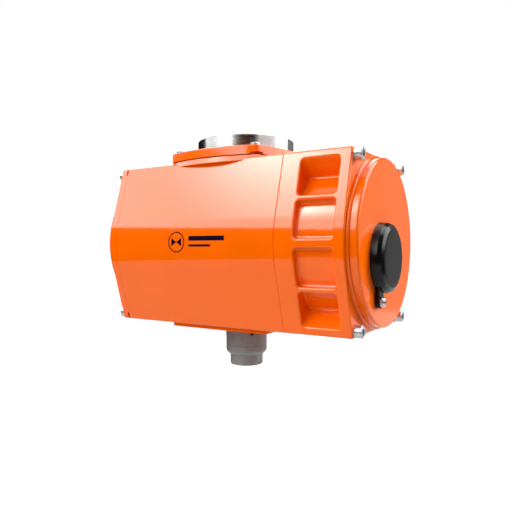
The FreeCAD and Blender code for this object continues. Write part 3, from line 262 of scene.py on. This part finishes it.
def board_green():
    """Solder-masked board: copper runs show as a lighter green under the lacquer."""
    mask = (0.006, 0.085, 0.035)
    copper = (0.018, 0.17, 0.07)
    board = Finish("board_green", mask, 0.28, Coat_Weight=0.4, Coat_Roughness=0.1)
    runs = board.node("ShaderNodeTexBrick", offset=0.5, squash=0.6, squash_frequency=3)
    runs.inputs["Scale"].default_value = 1 / (5 * MM)
    runs.inputs["Mortar Size"].default_value = 0.08
    runs.inputs["Color1"].default_value = (*mask, 1.0)
    runs.inputs["Color2"].default_value = (*[c * 1.2 for c in mask], 1.0)
    runs.inputs["Mortar"].default_value = (*copper, 1.0)
    board.link(board.place, runs.inputs["Vector"])
    board.link(runs.outputs["Color"], board.shader.inputs["Base Color"])
    board.rough(board.noise(3 * MM), 0.22, 0.36)
    board.bump(runs.outputs["Fac"], 0.02 * MM)
    return board.material


PALETTE = {
    "orange_paint": orange_paint(),
    "bright_steel": bright_steel(),
    "brushed_ring": brushed_ring(),
    "cast_grey": cast_grey(),
    "black_plastic": moulded("black_plastic", (0.004, 0.004, 0.0045), 0.20, IOR=1.34),
    "window": window(),
    "dial_white": moulded("dial_white", (0.80, 0.80, 0.77), 0.45),
    "pointer_red": moulded("pointer_red", (0.62, 0.016, 0.010), 0.35),
    "rubber_black": moulded("rubber_black", (0.016, 0.016, 0.017), 0.62, 0.6 * MM, 0.01 * MM),
    "bronze": bronze(),
    "machined_steel": machined_steel(),
    "plate_aluminium": plate_aluminium(),
    "board_green": board_green(),
    "terminal_grey": moulded("terminal_grey", (0.28, 0.30, 0.31), 0.42),
    "relay_blue": moulded("relay_blue", (0.015, 0.10, 0.42), 0.34),
    "capacitor_white": moulded("capacitor_white", (0.74, 0.74, 0.70), 0.40),
    "nickel_brass": nickel_brass(),
    "motor_paint": moulded("motor_paint", (0.035, 0.037, 0.040), 0.48, 1.2 * MM, 0.03 * MM),
}

for node in NODES.values():
    for place in node.material_slots:
        place.material = PALETTE[place.material.name.split(".")[0]]

# ---------------------------------------------------------------- printed and small pieces


def add_piece(name, shape, material, body):
    """Turns a bmesh into a piece that rides on a body."""
    bmesh.ops.recalc_face_normals(shape, faces=shape.faces)
    mesh = bpy.data.meshes.new(name)
    shape.to_mesh(mesh)
    shape.free()
    mesh.materials.append(material)
    piece = bpy.data.objects.new(name, mesh)
    bpy.context.scene.collection.objects.link(piece)
    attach(piece, body)


def printed_piece(name, faces, thickness, lift, material, body):
    """A thin print: flat faces in their own plane, carried to the surface by lift(point, height)."""
    shape = bmesh.new()
    for points in faces:
        base = [shape.verts.new(lift(point, 0.0)) for point in points]
        top = [shape.verts.new(lift(point, thickness)) for point in points]
        count = len(points)
        shape.faces.new(top)
        shape.faces.new(base[::-1])
        for here in range(count):
            there = (here + 1) % count
            shape.faces.new((base[here], base[there], top[there], top[here]))
    add_piece(name, shape, material, body)


def strip(x_from, x_to, z_from, z_to, rows=4):
    """A rectangle as rows of quads, so that it can follow the curved flank."""
    step = (z_to - z_from) / rows
    levels = [(z_from + step * row, z_from + step * (row + 1)) for row in range(rows)]
    return [[(x_from, low), (x_to, low), (x_to, high), (x_from, high)] for low, high in levels]


def arc_band(centre, inner, outer, start, end, steps):
    """A stretch of a flat ring as quads, its angles in degrees."""
    faces = []
    for step in range(steps):
        angles = [math.radians(start + (end - start) * (step + shift) / steps) for shift in (0, 1)]
        ends = [(math.cos(angle), math.sin(angle)) for angle in angles]
        corners = [(inner, ends[0]), (outer, ends[0]), (outer, ends[1]), (inner, ends[1])]
        faces.append([(centre[0] + radius * c, centre[1] + radius * s) for radius, (c, s) in corners])
    return faces


def triangle_rows(tip, base_x, half_height, rows=5):
    """A triangle from its tip to an upright base, as a fan of slim quads that can follow the curved flank."""
    faces = []
    for row in range(rows):
        low = -half_height + 2 * half_height * row / rows
        high = -half_height + 2 * half_height * (row + 1) / rows
        faces.append([tip, (base_x, tip[1] + low), (base_x, tip[1] + high)])
    return faces


PRINT_INK = moulded("print_ink", (0.005, 0.002, 0.016), 0.14, 0.5 * MM, 0.002 * MM)


def make_front_mark():
    """A plain printed pictogram: the drawing symbol of a valve in a circle, and two stripes."""
    mark_z = 1.5 * MM
    symbol_x = -24.5 * MM
    faces = arc_band((symbol_x, mark_z), 8.0 * MM, 9.0 * MM, 0, 360, 48)
    for side in (-1, 1):
        faces += triangle_rows((symbol_x, mark_z), symbol_x + side * 5.6 * MM, 3.6 * MM)
    faces += strip(-11 * MM, 26 * MM, 2.6 * MM, 6.6 * MM)
    faces += strip(-11 * MM, 12 * MM, -2.4 * MM, -0.6 * MM)

    def on_flank(point, height):
        x, z = point
        reach = BARREL_RADIUS + 0.01 * MM + height
        return (x, -math.sqrt(reach**2 - z**2), BARREL_AXIS_Z + z)

    printed_piece("front_mark", faces, 0.03 * MM, on_flank, PRINT_INK, "actuator_body")


def make_dial_scale():
    """The position scale under the window: an arc from 0 to 90 degrees with ticks and numbers."""
    closed_angle, travel = 90, 90  # the pointer rests along +Y and turns towards -X
    rim = 38.6 * MM
    faces = arc_band((0, 0), rim - 0.5 * MM, rim, closed_angle, closed_angle + travel, 36)
    for step in range(0, travel + 1, 5):
        long_tick = step % 30 == 0
        inner = rim - (4.2 if long_tick else 2.4) * MM
        half_width = math.degrees((0.45 if long_tick else 0.22) * MM / rim)
        angle = closed_angle + step
        faces += arc_band((0, 0), inner, rim - 0.5 * MM, angle - half_width, angle + half_width, 1)

    def on_dial(point, height):
        return (point[0], point[1], DIAL_FACE_Z + 0.02 * MM + height)

    printed_piece("dial_scale", faces, 0.05 * MM, on_dial, PRINT_INK, "actuator_body")
    for number in (0, 30, 60, 90):
        text = bpy.data.curves.new("dial_number_%d" % number, "FONT")
        text.body = str(number)
        text.size = 5.5 * MM
        text.align_x = "CENTER"
        text.align_y = "CENTER"
        text.extrude = 0.03 * MM
        text.materials.append(PRINT_INK)
        piece = bpy.data.objects.new(text.name, text)
        bpy.context.scene.collection.objects.link(piece)
        angle = math.radians(closed_angle + number)
        radius = 0.78 * rim
        piece.location = (radius * math.cos(angle), radius * math.sin(angle), DIAL_FACE_Z + 0.05 * MM)
        piece.rotation_euler = (0, 0, angle - math.pi / 2)
        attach(piece, "actuator_body")


def solid_piece(name, build, slot):
    """Small solids made by build(shape), in the colour of their slot."""
    shape = bmesh.new()
    build(shape)
    add_piece(name, shape, PALETTE[slot], "actuator_body")


def block(shape, centre, size, edge):
    """A box with softened edges that stands on its centre point."""
    x, y, z = centre
    place = Matrix.Translation((x, y, z + size[2] / 2)) @ Matrix.Diagonal((*size, 1))
    made = bmesh.ops.create_cube(shape, size=1.0, matrix=place)
    edges = list({line for vertex in made["verts"] for line in vertex.link_edges})
    bmesh.ops.bevel(shape, geom=edges, offset=edge, segments=2, affect="EDGES", profile=0.7)


def can(shape, centre, radius, height, edge):
    """An upright round can with softened rims that stands on its centre point."""
    x, y, z = centre
    place = Matrix.Translation((x, y, z + height / 2))
    ends = {"radius1": radius, "radius2": radius, "depth": height}
    made = bmesh.ops.create_cone(shape, cap_ends=True, segments=32, matrix=place, **ends)
    rims = [line for vertex in made["verts"] for line in vertex.link_edges
            if abs(line.verts[0].co.z - line.verts[1].co.z) < 1e-6]
    bmesh.ops.bevel(shape, geom=list(set(rims)), offset=edge, segments=2, affect="EDGES", profile=0.7)


def make_board_parts():
    """What is soldered to the control board, and the screws that hold the board and the wires."""
    low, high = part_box("circuit_board")
    top = high.z
    free_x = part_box("control_relays")[1].x + 7 * MM
    middle = (low.y + high.y) / 2
    small_chip_shift = 13 * MM

    def chips(shape):
        edge = 0.2 * MM
        block(shape, (free_x, middle, top), (9 * MM, 9 * MM, 1.4 * MM), edge)
        for side in (-1, 1):
            y = middle + side * small_chip_shift
            block(shape, (free_x - 1 * MM, y, top), (4 * MM, 5 * MM, 1.5 * MM), edge)

    def legs(shape):
        edge = 0.08 * MM
        for row in range(8):
            for side in (-1, 1):
                x, y = free_x + side * 5 * MM, middle + (row - 3.5) * 1.0 * MM
                block(shape, (x, y, top), (1.2 * MM, 0.4 * MM, 0.5 * MM), edge)
        for chip in (-1, 1):
            for row in range(4):
                for side in (-1, 1):
                    x = free_x + (side * 2.5 - 1) * MM
                    y = middle + chip * small_chip_shift + (row - 1.5) * 1.2 * MM
                    block(shape, (x, y, top), (1 * MM, 0.4 * MM, 0.5 * MM), edge)

    def chip_capacitors(shape):
        for side in (-1, 1):
            for step in range(4):
                y = middle + side * (19 + 2.6 * step) * MM
                block(shape, (free_x - 3 * MM, y, top), (2.4 * MM, 1.3 * MM, 1.0 * MM), 0.15 * MM)

    def electrolytics(shape):
        for side in (-1, 1):
            can(shape, (free_x + 2.5 * MM, middle + side * 21.5 * MM, top), 3.1 * MM, 8 * MM, 0.5 * MM)

    def screws(shape):
        inset = 4 * MM
        for x in (low.x + inset, high.x - inset):
            for y in (low.y + inset, high.y - inset):
                can(shape, (x, y, top), 2.7 * MM, 1.8 * MM, 0.5 * MM)

    def wire_screws(shape):
        near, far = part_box("terminal_block")
        ways = 10
        pitch = (far.y - near.y) / ways
        for index in range(ways):
            y = near.y + pitch * (index + 0.5)
            can(shape, (near.x + 8.5 * MM, y, far.z - 4 * MM), 1.7 * MM, 1.6 * MM, 0.3 * MM)

    solid_piece("board_chips", chips, "black_plastic")
    solid_piece("board_chip_legs", legs, "bright_steel")
    solid_piece("board_chip_capacitors", chip_capacitors, "bronze")
    solid_piece("board_electrolytics", electrolytics, "relay_blue")
    solid_piece("board_screws", screws, "bright_steel")
    solid_piece("terminal_screws", wire_screws, "bright_steel")


make_front_mark()
make_dial_scale()
make_board_parts()

# ---------------------------------------------------------------- studio

FLOOR_Z = -0.45
FLOOR_RADIUS = 2.6
BOUNCE_RADIUS = 1.65
BACKDROP_RADIUS = 9.0
STUDIO_CENTRE = Vector((0.02, 0, 0.08))
LIGHT_DISTANCE = 3.0
HOT_SPOT_DISTANCE = 2.8
WORLD_STRENGTH = 0.18
CAMERA_PLACE = (0.2713, -0.4235, 0.0736)


def plain_material(name, colour, roughness=0.8, glow=0.0):
    material = bpy.data.materials.new(name)
    material.use_nodes = True
    shader = material.node_tree.nodes["Principled BSDF"]
    shader.inputs["Base Color"].default_value = (*colour, 1)
    shader.inputs["Roughness"].default_value = roughness
    shader.inputs["Emission Color"].default_value = (1, 1, 1, 1)
    shader.inputs["Emission Strength"].default_value = glow
    return material


def stage_object(name, build, material):
    """A piece of the studio, from a bmesh operation."""
    shape = bmesh.new()
    build(shape)
    mesh = bpy.data.meshes.new(name)
    shape.to_mesh(mesh)
    shape.free()
    mesh.materials.append(material)
    made = bpy.data.objects.new(name, mesh)
    bpy.context.scene.collection.objects.link(made)
    return made


def see_only(item, camera=False, diffuse=False, glossy=False):
    """Which rays see a light or a stage piece."""
    item.visible_camera = camera
    item.visible_diffuse = diffuse
    item.visible_glossy = glossy
    item.visible_transmission = camera
    item.visible_shadow = False


def flat_disc(radius):
    def build(shape):
        bmesh.ops.create_circle(shape, cap_ends=True, segments=96, radius=radius)

    return build


def make_floor():
    """A pale floor for the camera, and a smaller and duller one that lights the underside."""
    for name, radius, albedo, glow, seen in (("floor", FLOOR_RADIUS, 0.8, 0.6, True),
                                             ("floor_bounce", BOUNCE_RADIUS, 0.35, 0.05, False)):
        disc = flat_disc(radius)
        floor = stage_object(name, disc, plain_material(name, (albedo, albedo, albedo), glow=glow))
        floor.location.z = FLOOR_Z
        see_only(floor, camera=seen, diffuse=not seen, glossy=not seen)


def make_backdrop():
    """A white dome around everything, seen by the camera alone."""

    def dome(shape):
        bmesh.ops.create_uvsphere(shape, u_segments=48, v_segments=24, radius=BACKDROP_RADIUS)

    see_only(stage_object("backdrop", dome, plain_material("backdrop", (0, 0, 0), glow=1.0)), camera=True)


def aim(item, azimuth, elevation, distance=LIGHT_DISTANCE):
    """Puts a light round the actuator, facing it. Azimuth is in degrees from +X towards +Y."""
    a, e = math.radians(azimuth), math.radians(elevation)
    out = Vector((math.cos(e) * math.cos(a), math.cos(e) * math.sin(a), math.sin(e)))
    item.location = STUDIO_CENTRE + out * distance
    item.rotation_euler = out.to_track_quat("Z", "Y").to_euler()


def softbox(name, azimuth, elevation, wide, high, radiance, diffuse=True, glossy=True):
    """A rectangular light that covers this many degrees across and up."""
    lamp = bpy.data.lights.new(name, "AREA")
    lamp.shape = "RECTANGLE"
    lamp.size = 2 * LIGHT_DISTANCE * math.tan(math.radians(wide / 2))
    lamp.size_y = 2 * LIGHT_DISTANCE * math.tan(math.radians(high / 2))
    lamp.energy = radiance * math.pi * lamp.size * lamp.size_y
    made = bpy.data.objects.new(name, lamp)
    bpy.context.scene.collection.objects.link(made)
    aim(made, azimuth, elevation)
    see_only(made, diffuse=diffuse, glossy=glossy)


def hot_spot(name, azimuth, elevation, across, radiance):
    """The bright middle of a diffuser, fading outwards, seen only as a reflection."""
    material = bpy.data.materials.new(name)
    material.use_nodes = True
    nodes, links = material.node_tree.nodes, material.node_tree.links
    nodes.clear()
    place = nodes.new("ShaderNodeTexCoord")
    fade = nodes.new("ShaderNodeTexGradient")
    fade.gradient_type = "QUADRATIC_SPHERE"
    strength = nodes.new("ShaderNodeMath")
    strength.operation = "MULTIPLY"
    strength.inputs[1].default_value = radiance
    glow = nodes.new("ShaderNodeEmission")
    clear = nodes.new("ShaderNodeBsdfTransparent")
    both = nodes.new("ShaderNodeAddShader")
    output = nodes.new("ShaderNodeOutputMaterial")
    links.new(place.outputs["Object"], fade.inputs["Vector"])
    links.new(fade.outputs["Fac"], strength.inputs[0])
    links.new(strength.outputs["Value"], glow.inputs["Strength"])
    links.new(glow.outputs["Emission"], both.inputs[0])
    links.new(clear.outputs["BSDF"], both.inputs[1])
    links.new(both.outputs["Shader"], output.inputs["Surface"])
    made = stage_object(name, flat_disc(1.0), material)
    made.scale = [HOT_SPOT_DISTANCE * math.tan(math.radians(across / 2))] * 3
    aim(made, azimuth, elevation, HOT_SPOT_DISTANCE)
    see_only(made, glossy=True)


def make_world():
    """Even light from everywhere, which shiny surfaces don't mirror."""
    world = bpy.data.worlds.new("studio")
    world.use_nodes = True
    world.node_tree.nodes["Background"].inputs["Strength"].default_value = WORLD_STRENGTH
    world.node_tree.nodes["Background"].inputs["Color"].default_value = (1, 1, 1, 1)
    world.cycles_visibility.glossy = False
    world.cycles_visibility.camera = False
    bpy.context.scene.world = world


def make_lights():
    """Each with its azimuth, elevation, size in degrees and radiance."""
    softbox("key_left_panel", -130, 39, 78, 42, 5.0, diffuse=False)
    hot_spot("key_left_middle", -126, 41, 35, 22.0)
    softbox("key_left_fill", -115, 38, 60, 46, 4.2, glossy=False)
    softbox("key_left_top", -125, 70, 70, 16, 1.3, diffuse=False)
    softbox("key_right", 40, 42, 42, 66, 4.4)
    softbox("key_right_fill", 50, 18, 16, 40, 13.0, glossy=False)
    softbox("under_fill", -90, -40, 60, 40, 1.3, glossy=False)
    softbox("low_right", 78, -22, 40, 28, 0.8, diffuse=False)
    softbox("right_fill", -5, 30, 50, 50, 1.2, diffuse=False)
    softbox("face_fill", 58, -2, 30, 30, 0.08, diffuse=False)
    softbox("side_right", 80, 6, 34, 28, 0.26)
    softbox("back", 122, 42, 40, 35, 3.0)
    softbox("overhead", 122, 85, 40, 40, 1.5)


def make_camera():
    """The photographer's place: to the right of the front and level with the barrel."""
    yaw, pitch, roll = 31.58, -1.06, -0.16
    camera = bpy.data.cameras.new("camera")
    camera.lens = 36.675
    camera.sensor_width = 36.0
    made = bpy.data.objects.new("camera", camera)
    bpy.context.scene.collection.objects.link(made)
    turn = Matrix.Rotation(math.radians(yaw), 4, "Z") @ Matrix.Rotation(math.radians(90 + pitch), 4, "X")
    turn = turn @ Matrix.Rotation(math.radians(roll), 4, "Z")
    made.matrix_world = Matrix.Translation(CAMERA_PLACE) @ turn
    bpy.context.scene.camera = made


make_floor()
make_backdrop()
make_world()
make_lights()
make_camera()
bpy.context.scene.view_settings.view_transform = "Standard"
